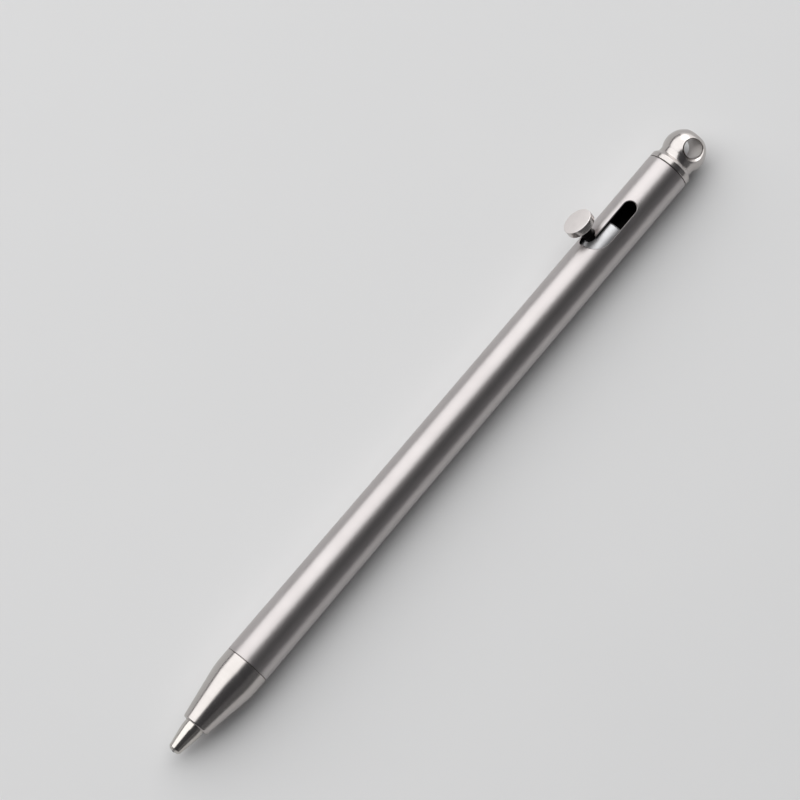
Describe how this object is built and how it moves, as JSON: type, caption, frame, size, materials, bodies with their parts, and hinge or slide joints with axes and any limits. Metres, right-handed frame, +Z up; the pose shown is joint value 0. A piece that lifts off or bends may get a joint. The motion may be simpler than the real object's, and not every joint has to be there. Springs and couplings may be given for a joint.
{
  "type": "bolt-action pen",
  "caption": "Slim steel pocket pen: a side bolt in a J-slot puts the refill out and back, the nose cone comes off for a new refill, and the ball at the tail takes a key ring.",
  "frame": {"origin": "middle of the lying pen's box in X and Y, on the surface that it lies on", "axes": "+X along the pen from its writing tip to its key-ring ball, +Z up, the bolt knob up and towards +Y"},
  "size_m": [0.1044, 0.0088, 0.0085],
  "materials": {
    "satin_steel": "fine bead-blasted stainless steel",
    "polished_steel": "turned and polished stainless steel",
    "plunger_steel": "bright turned stainless steel",
    "spring_steel": "drawn spring wire",
    "tip_nickel_silver": "turned nickel silver",
    "ball_carbide": "ground hard-metal ball",
    "refill_plastic": "extruded tube",
    "ink": "black ink",
    "follower_grease": "clear grease",
    "o_ring_rubber": "moulded nitrile rubber"
  },
  "bodies": {
    "barrel": {"barrel": "satin_steel", "tail_cap": "polished_steel", "spring_washer": "plunger_steel", "return_spring": "spring_steel"},
    "refill": {"refill_tube": "refill_plastic", "refill_tip": "tip_nickel_silver", "ink_column": "ink", "ink_follower": "follower_grease"},
    "bolt": {"bolt_carrier": "plunger_steel", "bolt_stem": "plunger_steel", "bolt_knob": "satin_steel"},
    "writing_ball": {"writing_ball": "ball_carbide"},
    "nose": {"nose_cone": "polished_steel", "nose_o_ring": "o_ring_rubber"}
  },
  "joints": [
    {"name": "bolt_slide", "type": "slide", "parent": "barrel", "child": "refill", "axis": [1, 0, 0], "range_m": [0, 0.006], "deforming": ["return_spring"]},
    {"name": "bolt_turn", "type": "hinge", "parent": "refill", "child": "bolt", "pos_m": [0.03274, -0.00124, 0.00313], "axis": [1, 0, 0], "range_deg": [0, 42.7]},
    {"name": "ball_roll", "type": "hinge", "parent": "refill", "child": "writing_ball", "pos_m": [-0.05184, -0.00124, 0.00313], "axis": [0, 1, 0], "continuous": true},
    {"name": "nose_draw", "type": "slide", "parent": "barrel", "child": "nose", "axis": [-1, 0, 0], "range_m": [0, 0.0055]}
  ],
  "couplings": [
    {"joint": "bolt_turn", "follows": "bolt_slide", "rad_per_m": 124.21}
  ]
}
